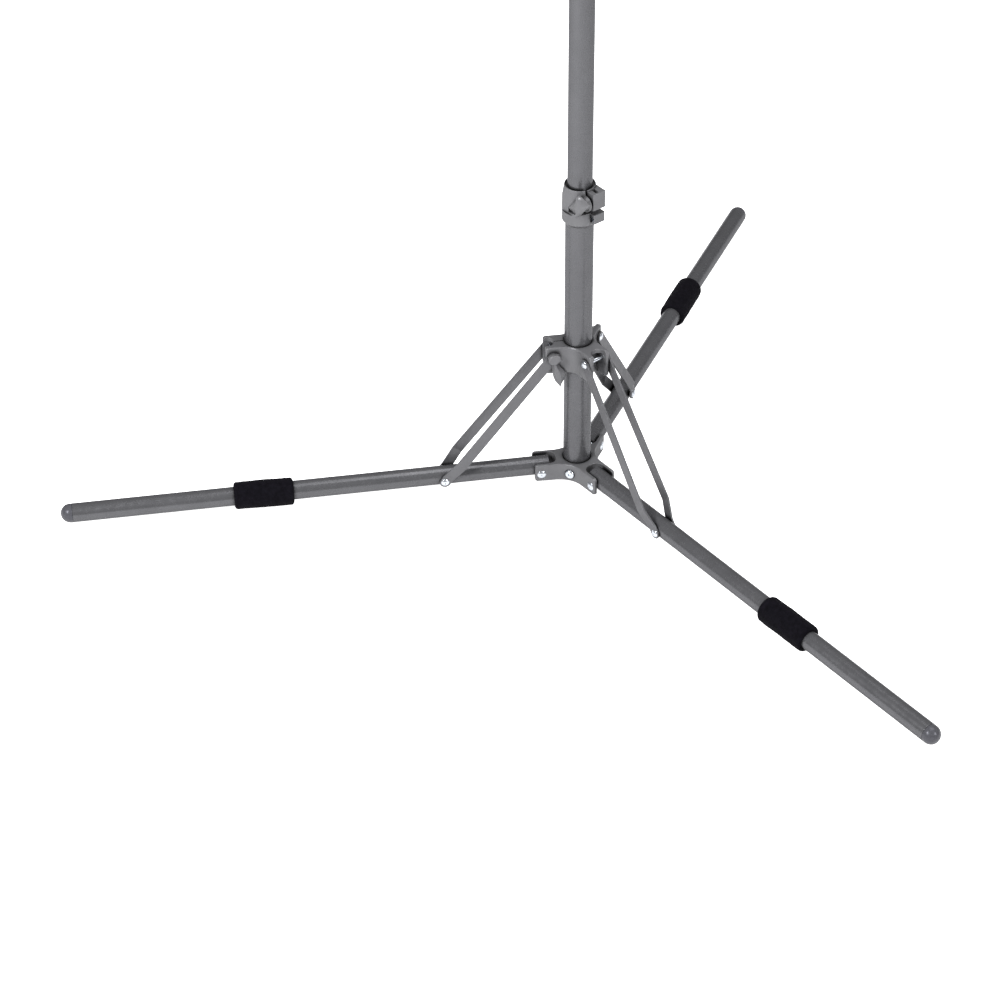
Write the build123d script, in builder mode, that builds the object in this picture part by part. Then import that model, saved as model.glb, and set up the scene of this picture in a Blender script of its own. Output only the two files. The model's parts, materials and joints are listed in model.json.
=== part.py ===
from build123d import *
import os
from math import cos, hypot, radians, sin

# A folding lighting stand: a hub with three tube legs, a sliding brace collar, and three
# telescopic column sections held by two clamp collars. Millimetres, +Z up, the column on the
# Z axis and the floor at Z = 0.

# ---------------------------------------------------------------- driving dimensions
LEG_SIDES = {"front": -90.0, "right": 30.0, "left": 150.0}  # azimuth of each leg, degrees
LEVER_SIDE = "left"  # the collar arm that is split and clamped by the lever
PLAIN_SIDES = [side for side in LEG_SIDES if side != LEVER_SIDE]

BASE_R = 16.0  # outer radius of each tube
MID_R = 14.0
TOP_R = 12.0
LEG_R = 11.0
TUBE_WALL = 1.2
RUN_FIT = 0.05  # radial running clearance
RIVET_R = 2.5
RIVET_HEAD_R = 4.75
HUB_HEAD_R = 5.2  # heads of the hub rivets
RIVET_DOME = 2.0
RIVET_DIMPLE_R = 1.2  # the punched mark in the middle of each head
RIVET_DIMPLE = 0.7

# legs
LEG_SLOPE = 1.0  # the open legs fall this many degrees towards their tips
LEG_REACH = 544.6  # from the hub pivot to the centre of the foot cap's dome
LEG_INNER_END = -9.8  # where the tube starts, measured from the pivot
PIVOT_RADIUS = 43.4
PIVOT_DROP = 3.5  # the hub pivot sits this far below the leg's centre line
RIVET_DROP = 2.0  # and the brace rivet this far
CAP_RIM = 3.0  # straight rim of the foot cap before its dome
CAP_PLUG = 16.0
CAP_BEVEL = 0.4  # the seam between the tube and its cap
SLEEVE_START = 287.5
SLEEVE_END = 356.6
SLEEVE_R = 15.0
SLEEVE_GAP = 0.2
SLEEVE_FILLET = 2.8
BRACE_REACH = 112.6  # from the hub pivot to the brace rivet on the leg

# hub
HUB_BOTTOM = 7.5
HUB_TOP = 30.0
CLEVIS_OUT = 15.0  # half widths of the hub's arms, outside and inside
CLEVIS_IN = 11.5
HUB_REACH = 51.0
HUB_WEB_FILLET = 30.0
NOTCH_START = 25.2
NOTCH_CORNER = 9.0
HUB_END_FILLET = 3.5
HUB_EDGE = 1.2
SEAT_RELIEF = 0.9  # width and depth of the groove round the tube where it enters the hub
SEAT_RELIEF_DEPTH = 3.0
PLUG_FOOT_R = 9.0  # the flat under the base plug
PLUG_STEP = 1.0
SCREW_AZIMUTH = 210.0
SCREW_Z = 17.5
SCREW_SEAT_R = 21.4
SCREW_SEAT_GAP = 0.3
SCREW_SEAT_CUT = 4.0
SCREW_HEAD_R = 5.75
SCREW_HEAD_DEPTH = 3.2
SCREW_HEAD_FILLET = 2.4
SCREW_SOCKET_R = 1.7
SCREW_SOCKET_DEPTH = 2.0

# braces and brace collar
COLLAR_PIN_RADIUS = 30.5
COLLAR_PIN_Z = 181.7
COLLAR_BOTTOM = 158.5
COLLAR_TOP = 193.5
COLLAR_BORE_R = 17.2
COLLAR_ARM_OUT = 13.7
COLLAR_ARM_IN = 9.4
COLLAR_REACH = 39.0
COLLAR_FILLET = 20.0
COLLAR_EDGE = 1.8
COLLAR_END_FILLET = 3.0
COLLAR_WEB = 5.0
COLLAR_POCKET = 22.5
COLLAR_NOTCH = 28.0
COLLAR_NOTCH_HALF = 8.4
COLLAR_NOTCH_CORNER = 7.5
LINER_INSET = 1.0  # the collar's liner ends this far inside the collar
SPLIT_GAP = 1.5
STRIP_WIDTH = 12.5
STRIP_THICK = 2.0
STRIP_END_FLAT = 0.05  # what the round ends leave straight
STRIP_TOP_T = 15.3  # centre of a strip's thickness at the collar, at its joggle and at the leg
STRIP_BEND_T = 18.0
STRIP_LEG_T = 12.2
BEND_START = 0.855  # where the strip's joggle starts and ends, as a share of its length
BEND_END = 0.965

# brace collar lever
LEVER_HANG = -101.0  # direction of the paddle in the arm's plane, degrees from outwards
LEVER_INNER_SIDE = ((2, 3.4), (13, 5.2), (23.5, 9.0), (34, 4.5), (38, 1.2))  # paddle's edge by the column
LEVER_OUTER_SIDE = ((2, -3.4), (13, -4.6), (23.5, -5.2), (34, -3.2), (38, -0.8))
LEVER_BOSS_R = 6.5
LEVER_HEEL = (-0.6, 3.4)  # centre of the boss's rounded heel, along and across the paddle
LEVER_HEEL_R = 5.2
LEVER_BOSS_DEPTH = 5.5
LEVER_DEPTH = 4.2
LEVER_DOME = 1.8  # fillet round the boss's face
LEVER_RIDGE = 0.35  # width of the paddle's outer face as a share of its inner one
LEVER_T = 17.0
BOLT_HEAD_SIZE = 4.6
BOLT_HEAD_DEPTH = 3.4
BOLT_END_INSET = 0.2

# column
BASE_TUBE_BOTTOM = 9.0
BASE_TUBE_TOP = 371.5
MID_LENGTH = 530.0
MID_BOTTOM = 145.0
TOP_LENGTH = 530.0
TOP_BOTTOM = 300.0
BUSH_LENGTH = 30.0

# clamp collars, heights above the collar's own bottom edge
CLAMP_HEIGHT = 48.0
CLAMP_WALL = 3.7
CLAMP_CHAMFER = 4.3
CLAMP_SHOULDER = 34.0  # the barrel tapers above this
CLAMP_BASE_LAND = 0.3  # flat rims at the barrel's bottom and top
CLAMP_TOP_LAND = 1.0
CLAMP_LIP = 4.0  # depth of the recess round the bush's flange
CLAMP_LIP_STEP = 0.4  # its radius past the lower tube's
CLAMP_SEAT = 19.5  # the lower tube ends here
CLAMP_SLOT = (19.2, 25.4)
CLAMP_SLOT_Y = -2.0  # how far back the slot is cut
CLAMP_LOWER_BLOCK = (7.8, 19.2)
CLAMP_UPPER_BLOCK = (26.2, 46.5)
CLAMP_BOLT_Z = 35.7
CLAMP_SCREW_Z = 12.3
CLAMP_FLAT = 2.1  # depth of the flat behind the knob's wing
BLOCK_REACH = 11.2  # past the lower tube's radius
BLOCK_BACK = -5.0
BOLT_REACH = 5.0
BLOCK_RIGHT = 14.0
LOWER_BLOCK_LEFT = -1.0
LOWER_BLOCK_INSET = 0.8  # the lower block is this much shallower than the upper one
BLOCK_FILLET = 0.8
SPLIT_X = (-6.0, -3.2)
LUG_LEFT = -9.5
LUG_R = 9.2
LUG_INSET = 2.0  # the round lug's centre lies this far inwards of the bolt and below it
BUSH_WALL = 1.2
BUSH_FLANGE = 2.4
BUSH_GAP = 0.2  # between the bush and its seat
NUT_X = (2.0, 6.4)
NUT_SIZE = 8.0
NUT_GAP = 0.1
NUT_CORNER = 0.5
STUD_TIP_X = 8.4
STUD_HOLE_X = 11.0  # the stud's hole ends here
KNOB_GAP = 0.4
KNOB_LUG_GAP = 0.2
KNOB_FLANGE_R = 7.4
KNOB_FLANGE = 2.4
KNOB_POCKET_GAP = 0.6  # round the flange
KNOB_NECK_R = 5.0
KNOB_DEPTH = 4.5
KNOB_HALF_LENGTH = 19.0
KNOB_SKEW = 10.8  # one tip of the wing stands this far above the middle, the other below
KNOB_HALF_HEIGHT = 14.0
KNOB_RIDGE = 1.4
KNOB_BEVEL = 1.5  # the wing's upper and lower corners lean in by this much
SET_SCREW_R = 4.8
SET_SCREW_GAP = 0.2
SET_SCREW_X = (1.2, 5.0)  # its head, sunk in the lower block
SET_SCREW_PIN_R = 2.0
SET_SCREW_PIN = 6.0
SET_SCREW_HOLE = 7.0
SET_SCREW_SOCKET_R = 2.6
SET_SCREW_SOCKET = 2.4

# spigot
SPIGOT_R = 7.94
SPIGOT_LENGTH = 38.0
SPIGOT_GROOVE = (19.0, 26.0)
SPIGOT_GROOVE_DEPTH = 1.6
SPIGOT_SHOULDER = 4.0
SPIGOT_PLUG = 30.0
SPIGOT_CHAMFER = 1.5
SHOULDER_CHAMFER = 1.0
STUD_R = 3.175
STUD_LENGTH = 12.0
STUD_CHAMFER = 0.7
STUD_NECK_R = 2.6  # the part screwed into the spigot
STUD_NECK = 14.0
ROLL_PIN_R = 2.0
ROLL_PIN_DROP = 12.0  # below the top tube's end
ROLL_PIN_RECESS = 0.3

# ---------------------------------------------------------------- worked out from those
LEG_AXIS_Z = LEG_R + LEG_REACH * sin(radians(LEG_SLOPE))
PIVOT_Z = LEG_AXIS_Z - PIVOT_DROP
BRACE_FOOT_R = PIVOT_RADIUS + BRACE_REACH * cos(radians(LEG_SLOPE))
BRACE_FOOT_Z = LEG_AXIS_Z - RIVET_DROP - BRACE_REACH * sin(radians(LEG_SLOPE))
BRACE_RUN = BRACE_FOOT_R - COLLAR_PIN_RADIUS
BRACE_DROP = COLLAR_PIN_Z - BRACE_FOOT_Z
BRACE_LENGTH = hypot(BRACE_RUN, BRACE_DROP)
PIN_HALF = (LEG_R**2 - RIVET_DROP**2) ** 0.5  # half the leg's width at the brace rivet's height
MID_TOP = MID_BOTTOM + MID_LENGTH
TOP_TOP = TOP_BOTTOM + TOP_LENGTH
SPIGOT_BASE = TOP_TOP + SPIGOT_SHOULDER
SPIGOT_TIP = SPIGOT_BASE + SPIGOT_LENGTH
BASE_CLAMP_Z = BASE_TUBE_TOP - CLAMP_SEAT
MID_CLAMP_Z = MID_TOP - CLAMP_SEAT
COLLAR_HEAD_T = STRIP_TOP_T + STRIP_THICK / 2 + 0.1  # where the heads sit on the collar's strips
SCREW_SHANK = SCREW_SEAT_R - BASE_R + TUBE_WALL + 1.0  # ends just inside the base tube

os.makedirs("parts", exist_ok=True)


def save(piece, label):
    """Label a finished piece and write its STEP file."""
    piece.part.label = label
    export_step(piece.part, f"parts/{label}.step")


# ---------------------------------------------------------------- planes on a leg's azimuth
def outward(azimuth):
    """Unit vector that points away from the column at an azimuth."""
    return Vector(cos(radians(azimuth)), sin(radians(azimuth)), 0)


def leftward(azimuth):
    """Unit vector along the tangent, anticlockwise seen from above."""
    return Vector(-sin(radians(azimuth)), cos(radians(azimuth)), 0)


def side_plane(side, radius, height, tangent=0.0):
    """Upright plane through a leg: x outwards, y up, its normal against the tangent."""
    azimuth = LEG_SIDES[side]
    origin = outward(azimuth) * radius + leftward(azimuth) * tangent + Vector(0, 0, height)
    return Plane(origin=origin, x_dir=outward(azimuth), z_dir=leftward(azimuth) * -1)


def leg_direction(side):
    """Unit vector along an open leg, from the hub to the foot."""
    slope = radians(LEG_SLOPE)
    return outward(LEG_SIDES[side]) * cos(slope) + Vector(0, 0, -sin(slope))


def leg_point(side, along):
    """Point on a leg's centre line, measured from above the hub pivot."""
    start = outward(LEG_SIDES[side]) * PIVOT_RADIUS + Vector(0, 0, LEG_AXIS_Z)
    return start + leg_direction(side) * along


def leg_plane(side, along):
    """Plane square across a leg."""
    x_dir = leftward(LEG_SIDES[side])
    return Plane(origin=leg_point(side, along), x_dir=x_dir, z_dir=leg_direction(side))


def leg_profile_plane(side):
    """Upright plane with its x axis along the leg's centre line."""
    direction = leg_direction(side)
    return Plane(origin=leg_point(side, 0), x_dir=direction, z_dir=leftward(LEG_SIDES[side]) * -1)


def brace_plane(side):
    """Plane of a brace strip's joggle: x from the collar pin to the leg, y along the tangent."""
    azimuth = LEG_SIDES[side]
    origin = outward(azimuth) * COLLAR_PIN_RADIUS + Vector(0, 0, COLLAR_PIN_Z)
    run = outward(azimuth) * (BRACE_RUN / BRACE_LENGTH)
    x_dir = run + Vector(0, 0, -BRACE_DROP / BRACE_LENGTH)
    return Plane(origin=origin, x_dir=x_dir, z_dir=x_dir.cross(leftward(azimuth)))


# ---------------------------------------------------------------- shared shapes
def round_bar(side, radius, height, bar_r, start, end):
    """Add a round bar along the tangent, from one tangent distance to another."""
    with BuildSketch(side_plane(side, radius, height, end)) as section:
        Circle(bar_r)
    extrude(section.sketch, amount=end - start)


def rivet_head(side, radius, height, tangent, outwards, head_r=RIVET_HEAD_R):
    """Add a domed rivet head with a punched middle, standing on a wall at a tangent distance."""
    sphere_r = (head_r**2 + RIVET_DOME**2) / (2 * RIVET_DOME)
    rim = (RIVET_DOME - sphere_r + (sphere_r**2 - RIVET_DIMPLE_R**2) ** 0.5, RIVET_DIMPLE_R)
    middle = (RIVET_DOME - RIVET_DIMPLE, 0)
    plane = side_plane(side, radius, height, tangent)
    if outwards > 0:
        plane = Plane(origin=plane.origin, x_dir=plane.x_dir, z_dir=plane.z_dir * -1)
    with BuildSketch(Plane(origin=plane.origin, x_dir=plane.z_dir, z_dir=plane.y_dir)) as section:
        with BuildLine():
            Line((0, 0), (0, head_r))
            RadiusArc((0, head_r), rim, sphere_r)
            Polyline(rim, middle, (0, 0))
        make_face()
    revolve(section.sketch, axis=Axis(plane.origin, plane.z_dir))


# ---------------------------------------------------------------- base: hub and base tube
def base_tube():
    with BuildPart() as piece:
        with BuildSketch(Plane.XY.offset(BASE_TUBE_BOTTOM)):
            Circle(BASE_R)
            Circle(BASE_R - TUBE_WALL, mode=Mode.SUBTRACT)
        extrude(amount=BASE_TUBE_TOP - BASE_TUBE_BOTTOM)
        screw_axis = outward(SCREW_AZIMUTH)
        with BuildSketch(Plane(origin=(0, 0, SCREW_Z), z_dir=screw_axis)):
            Circle(RIVET_R)
        extrude(amount=BASE_R + 1, mode=Mode.SUBTRACT)
    save(piece, "base_tube")


def base_plug():
    """Rubber plug in the base tube's lower end, with a flat underside on the floor."""
    bore_r = BASE_R - TUBE_WALL
    plug_top = SCREW_Z - RIVET_R - PLUG_STEP
    with BuildPart() as piece:
        with BuildSketch(Plane.XZ):
            with BuildLine():
                Polyline(
                    (0, 0),
                    (PLUG_FOOT_R, 0),
                    (BASE_R - PLUG_STEP, HUB_BOTTOM),
                    (BASE_R, HUB_BOTTOM),
                    (BASE_R, BASE_TUBE_BOTTOM),
                    (bore_r, BASE_TUBE_BOTTOM),
                    (bore_r, plug_top),
                    (0, plug_top),
                    close=True,
                )
            make_face()
        revolve(axis=Axis.Z)
    save(piece, "base_plug")


def hub_casting():
    height = HUB_TOP - HUB_BOTTOM
    notch_length = HUB_REACH
    with BuildPart() as piece:
        with BuildSketch(Plane.XY.offset(HUB_BOTTOM)) as outline:
            with PolarLocations(0, 3, start_angle=LEG_SIDES["right"]):
                Rectangle(HUB_REACH, 2 * CLEVIS_OUT, align=(Align.MIN, Align.CENTER))
            fillet(outline.vertices().sort_by_distance((0, 0, 0))[:3], HUB_WEB_FILLET)
        extrude(amount=height)
        arm_ends = piece.edges().filter_by(lambda edge: end_edge(edge, HUB_REACH))
        fillet(arm_ends, HUB_END_FILLET)
        fillet(piece.faces().sort_by(Axis.Z)[-1].outer_wire().edges(), HUB_EDGE)
        with BuildSketch(Plane.XY.offset(HUB_BOTTOM)):
            with PolarLocations(NOTCH_START + notch_length / 2, 3, start_angle=LEG_SIDES["right"]):
                RectangleRounded(notch_length, 2 * CLEVIS_IN, NOTCH_CORNER)
            Circle(BASE_R)
        extrude(amount=height, mode=Mode.SUBTRACT)
        with BuildSketch(Plane.XY.offset(HUB_TOP)):
            Circle(BASE_R + SEAT_RELIEF)
        extrude(amount=-SEAT_RELIEF_DEPTH, mode=Mode.SUBTRACT)
        for side in LEG_SIDES:
            with BuildSketch(side_plane(side, PIVOT_RADIUS, PIVOT_Z)):
                Circle(RIVET_R)
            extrude(amount=CLEVIS_OUT, both=True, mode=Mode.SUBTRACT)
        screw_axis = outward(SCREW_AZIMUTH)
        seat = Plane(origin=screw_axis * SCREW_SEAT_R + Vector(0, 0, SCREW_Z), z_dir=screw_axis)
        with BuildSketch(seat):
            Circle(SCREW_HEAD_R + SCREW_SEAT_GAP)
        extrude(amount=SCREW_SEAT_CUT, mode=Mode.SUBTRACT)
        with BuildSketch(seat):
            Circle(RIVET_R)
        extrude(amount=-SCREW_SHANK, mode=Mode.SUBTRACT)
    save(piece, "hub_casting")


def end_edge(edge, reach):
    """True for an edge across an arm's end, along the tangent."""
    centre = edge.center()
    direction = edge.tangent_at(0.5)
    return abs(direction.Z) < 0.01 and abs(hypot(centre.X, centre.Y) - reach) < 0.01


def hub_screw():
    """Button-head screw that fixes the base tube in the hub."""
    screw_axis = outward(SCREW_AZIMUTH)
    seat = Plane(origin=screw_axis * SCREW_SEAT_R + Vector(0, 0, SCREW_Z), z_dir=screw_axis)
    with BuildPart() as piece:
        with BuildSketch(seat):
            Circle(SCREW_HEAD_R)
        extrude(amount=SCREW_HEAD_DEPTH)
        rims = piece.edges().filter_by(GeomType.CIRCLE).sort_by(lambda edge: edge.center().length)
        fillet(rims[-1], SCREW_HEAD_FILLET)
        with BuildSketch(seat):
            Circle(RIVET_R)
        extrude(amount=-SCREW_SHANK)
        with BuildSketch(seat.offset(SCREW_HEAD_DEPTH)):
            RegularPolygon(SCREW_SOCKET_R, 6)
        extrude(amount=-SCREW_SOCKET_DEPTH, mode=Mode.SUBTRACT)
    save(piece, "hub_screw")


def hub_pivot_rivets():
    """Three rivets, one through each clevis and leg."""
    with BuildPart() as piece:
        for side in LEG_SIDES:
            round_bar(side, PIVOT_RADIUS, PIVOT_Z, RIVET_R, -CLEVIS_OUT, CLEVIS_OUT)
            rivet_head(side, PIVOT_RADIUS, PIVOT_Z, CLEVIS_OUT, 1, HUB_HEAD_R)
            rivet_head(side, PIVOT_RADIUS, PIVOT_Z, -CLEVIS_OUT, -1, HUB_HEAD_R)
    save(piece, "hub_pivot_rivets")


# ---------------------------------------------------------------- legs
def leg_tube(side):
    with BuildPart() as piece:
        with BuildSketch(leg_plane(side, LEG_INNER_END)):
            Circle(LEG_R)
            Circle(LEG_R - TUBE_WALL, mode=Mode.SUBTRACT)
        extrude(amount=LEG_REACH - CAP_RIM - LEG_INNER_END)
        with BuildSketch(side_plane(side, PIVOT_RADIUS, PIVOT_Z)):
            Circle(RIVET_R + RUN_FIT)
        extrude(amount=LEG_R, both=True, mode=Mode.SUBTRACT)
        with BuildSketch(side_plane(side, BRACE_FOOT_R, BRACE_FOOT_Z)):
            Circle(RIVET_R)
        extrude(amount=LEG_R, both=True, mode=Mode.SUBTRACT)
    save(piece, f"{side}_leg_tube")


def foot_cap(side):
    """Domed plastic cap with a plug inside the leg tube."""
    rim = LEG_REACH - CAP_RIM
    bore_r = LEG_R - TUBE_WALL
    seam_r = LEG_R - CAP_BEVEL
    profile = leg_profile_plane(side)
    with BuildPart() as piece:
        with BuildSketch(profile):
            with BuildLine():
                Polyline((LEG_REACH + LEG_R, 0), (rim - CAP_PLUG, 0), (rim - CAP_PLUG, bore_r), (rim, bore_r))
                Polyline((rim, bore_r), (rim, seam_r), (rim + CAP_BEVEL, LEG_R), (LEG_REACH, LEG_R))
                RadiusArc((LEG_REACH, LEG_R), (LEG_REACH + LEG_R, 0), LEG_R)
            make_face()
        revolve(axis=Axis(profile.origin, profile.x_dir))
    save(piece, f"{side}_foot_cap")


def foam_sleeve(side):
    """Foam grip round the leg, its ends rounded, pressed flat where it meets the floor."""
    with BuildPart() as piece:
        with BuildSketch(leg_plane(side, SLEEVE_START)):
            Circle(SLEEVE_R)
            Circle(LEG_R + SLEEVE_GAP, mode=Mode.SUBTRACT)
        extrude(amount=SLEEVE_END - SLEEVE_START)
        outer = piece.edges().filter_by(GeomType.CIRCLE).group_by(SortBy.RADIUS)[-1]
        fillet(outer, SLEEVE_FILLET)
        split(bisect_by=Plane.XY, keep=Keep.TOP)
    save(piece, f"{side}_foam_sleeve")


def leg_brace_pin(side):
    """Cross pin through the leg, flush with its sides, where the two strips meet it."""
    with BuildPart() as piece:
        round_bar(side, BRACE_FOOT_R, BRACE_FOOT_Z, RIVET_R, -PIN_HALF, PIN_HALF)
    save(piece, f"{side}_leg_brace_pin")


# ---------------------------------------------------------------- braces
def brace_strip(side, hand, label):
    """Flat joggled strip beside the collar arm and the leg; hand is +1 or -1 along the tangent."""
    end = STRIP_WIDTH / 2
    plane = brace_plane(side)
    inner = (
        (-end, hand * (STRIP_TOP_T - STRIP_THICK / 2)),
        (STRIP_WIDTH, hand * (STRIP_TOP_T - STRIP_THICK / 2)),
        (BRACE_LENGTH * BEND_START, hand * (STRIP_BEND_T - STRIP_THICK / 2)),
        (BRACE_LENGTH * BEND_END, hand * (STRIP_LEG_T - STRIP_THICK / 2)),
        (BRACE_LENGTH + end, hand * (STRIP_LEG_T - STRIP_THICK / 2)),
    )
    outer = [(x, y + hand * STRIP_THICK) for x, y in reversed(inner)]
    with BuildPart() as piece:
        with BuildSketch(plane):
            with BuildLine():
                Polyline(*inner, *outer, close=True)
            make_face()
        extrude(amount=STRIP_WIDTH / 2, both=True)
        tangent = Axis((0, 0, 0), leftward(LEG_SIDES[side]))
        fillet(piece.edges().filter_by(tangent), STRIP_WIDTH / 2 - STRIP_END_FLAT)
        with BuildSketch(side_plane(side, COLLAR_PIN_RADIUS, COLLAR_PIN_Z)):
            Circle(RIVET_R + RUN_FIT)
        extrude(amount=STRIP_TOP_T + STRIP_THICK, both=True, mode=Mode.SUBTRACT)
        with BuildSketch(side_plane(side, BRACE_FOOT_R, BRACE_FOOT_Z)):
            Circle(RIVET_R)
        extrude(amount=STRIP_TOP_T + STRIP_THICK, both=True, mode=Mode.SUBTRACT)
    save(piece, label)


def brace_rivet_heads(side):
    """The two rivet heads that hold the strips against the leg, with their short shanks."""
    inner = STRIP_LEG_T - STRIP_THICK / 2
    outer = STRIP_LEG_T + STRIP_THICK / 2
    with BuildPart() as piece:
        round_bar(side, BRACE_FOOT_R, BRACE_FOOT_Z, RIVET_R, inner, outer)
        round_bar(side, BRACE_FOOT_R, BRACE_FOOT_Z, RIVET_R, -outer, -inner)
        rivet_head(side, BRACE_FOOT_R, BRACE_FOOT_Z, outer, 1)
        rivet_head(side, BRACE_FOOT_R, BRACE_FOOT_Z, -outer, -1)
    save(piece, f"{side}_brace_rivet_heads")


# ---------------------------------------------------------------- sliding brace collar
def brace_collar():
    height = COLLAR_TOP - COLLAR_BOTTOM
    web_under = COLLAR_TOP - COLLAR_WEB
    with BuildPart() as piece:
        with BuildSketch(Plane.XY.offset(COLLAR_BOTTOM)) as outline:
            with PolarLocations(0, 3, start_angle=LEG_SIDES["right"]):
                Rectangle(COLLAR_REACH, 2 * COLLAR_ARM_OUT, align=(Align.MIN, Align.CENTER))
            fillet(outline.vertices().sort_by_distance((0, 0, 0))[:3], COLLAR_FILLET)
        extrude(amount=height)
        arm_ends = piece.edges().filter_by(lambda edge: end_edge(edge, COLLAR_REACH))
        fillet(arm_ends, COLLAR_END_FILLET)
        fillet(piece.faces().sort_by(Axis.Z)[-1].outer_wire().edges(), COLLAR_EDGE)
        with BuildSketch(Plane.XY.offset(COLLAR_BOTTOM)):
            with PolarLocations(COLLAR_POCKET, 3, start_angle=LEG_SIDES["right"]):
                Rectangle(COLLAR_REACH, 2 * COLLAR_ARM_IN, align=(Align.MIN, Align.CENTER))
        extrude(amount=web_under - COLLAR_BOTTOM, mode=Mode.SUBTRACT)
        with BuildSketch(Plane.XY.offset(web_under)):
            with PolarLocations(COLLAR_NOTCH + COLLAR_REACH / 2, 3, start_angle=LEG_SIDES["right"]):
                RectangleRounded(COLLAR_REACH, 2 * COLLAR_NOTCH_HALF, COLLAR_NOTCH_CORNER)
        extrude(amount=COLLAR_WEB, mode=Mode.SUBTRACT)
        with BuildSketch(Plane.XY.offset(COLLAR_BOTTOM)):
            Circle(COLLAR_BORE_R)
        extrude(amount=height, mode=Mode.SUBTRACT)
        with BuildSketch(Plane.XY.offset(COLLAR_BOTTOM)):
            with PolarLocations(0, 1, start_angle=LEG_SIDES[LEVER_SIDE]):
                Rectangle(COLLAR_REACH, SPLIT_GAP, align=(Align.MIN, Align.CENTER))
        extrude(amount=height, mode=Mode.SUBTRACT)
        for side in LEG_SIDES:
            with BuildSketch(side_plane(side, COLLAR_PIN_RADIUS, COLLAR_PIN_Z)):
                Circle(RIVET_R)
            extrude(amount=COLLAR_ARM_OUT, both=True, mode=Mode.SUBTRACT)
    save(piece, "brace_collar")


def collar_bush():
    """Split plastic liner between the brace collar and the base tube."""
    with BuildPart() as piece:
        with BuildSketch(Plane.XY.offset(COLLAR_BOTTOM + LINER_INSET)):
            Circle(COLLAR_BORE_R)
            Circle(BASE_R + RUN_FIT, mode=Mode.SUBTRACT)
            with PolarLocations(0, 1, start_angle=LEG_SIDES[LEVER_SIDE]):
                slit = (Align.MIN, Align.CENTER)
                Rectangle(COLLAR_REACH, SPLIT_GAP, align=slit, mode=Mode.SUBTRACT)
        extrude(amount=COLLAR_TOP - COLLAR_BOTTOM - 2 * LINER_INSET)
    save(piece, "collar_bush")


def collar_rivets():
    """Two rivets through the plain collar arms and their strips."""
    head = COLLAR_HEAD_T
    with BuildPart() as piece:
        for side in PLAIN_SIDES:
            round_bar(side, COLLAR_PIN_RADIUS, COLLAR_PIN_Z, RIVET_R, -head, head)
            rivet_head(side, COLLAR_PIN_RADIUS, COLLAR_PIN_Z, head, 1)
            rivet_head(side, COLLAR_PIN_RADIUS, COLLAR_PIN_Z, -head, -1)
    save(piece, "collar_rivets")


def collar_clamp_bolt():
    """Hex-head bolt across the split arm; the lever turns on its free end."""
    tip = LEVER_T + LEVER_DEPTH - BOLT_END_INSET
    with BuildPart() as piece:
        round_bar(LEVER_SIDE, COLLAR_PIN_RADIUS, COLLAR_PIN_Z, RIVET_R, -COLLAR_HEAD_T, tip)
        with BuildSketch(side_plane(LEVER_SIDE, COLLAR_PIN_RADIUS, COLLAR_PIN_Z, -COLLAR_HEAD_T)):
            RegularPolygon(BOLT_HEAD_SIZE, 6)
        extrude(amount=BOLT_HEAD_DEPTH)
    save(piece, "collar_clamp_bolt")


def collar_lever():
    """Leaf-shaped paddle on a round boss, ridged along its middle."""
    azimuth = LEG_SIDES[LEVER_SIDE]
    hang = radians(LEVER_HANG)
    paddle_dir = outward(azimuth) * cos(hang) + Vector(0, 0, sin(hang))
    origin = side_plane(LEVER_SIDE, COLLAR_PIN_RADIUS, COLLAR_PIN_Z, LEVER_T).origin
    face = Plane(origin=origin, x_dir=paddle_dir, z_dir=leftward(azimuth))
    with BuildPart() as piece:
        with BuildSketch(face):
            Circle(LEVER_BOSS_R)
            with Locations(LEVER_HEEL):
                Circle(LEVER_HEEL_R)
        extrude(amount=LEVER_BOSS_DEPTH)
        fillet(piece.faces().sort_by(face_depth)[-1].outer_wire().edges(), LEVER_DOME)
        with BuildSketch(face):
            leaf_outline(1.0)
        with BuildSketch(face.offset(LEVER_DEPTH)):
            leaf_outline(LEVER_RIDGE)
        loft()
        with BuildSketch(face):
            Circle(RIVET_R + RUN_FIT)
        extrude(amount=LEVER_DEPTH, mode=Mode.SUBTRACT)
    save(piece, "collar_lever")


def face_depth(face):
    """Distance of a face's centre along the lever arm's tangent."""
    return face.center().dot(leftward(LEG_SIDES[LEVER_SIDE]))


def leaf_outline(share):
    """Leaf shape along x, fuller towards the column, its width scaled by a share."""
    with BuildLine() as outline:
        inner = Spline(*[(x, y * share) for x, y in LEVER_INNER_SIDE])
        outer = Spline(*[(x, y * share) for x, y in LEVER_OUTER_SIDE])
        Line(inner @ 0, outer @ 0)
        Line(inner @ 1, outer @ 1)
    make_face(outline.edges())


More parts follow.
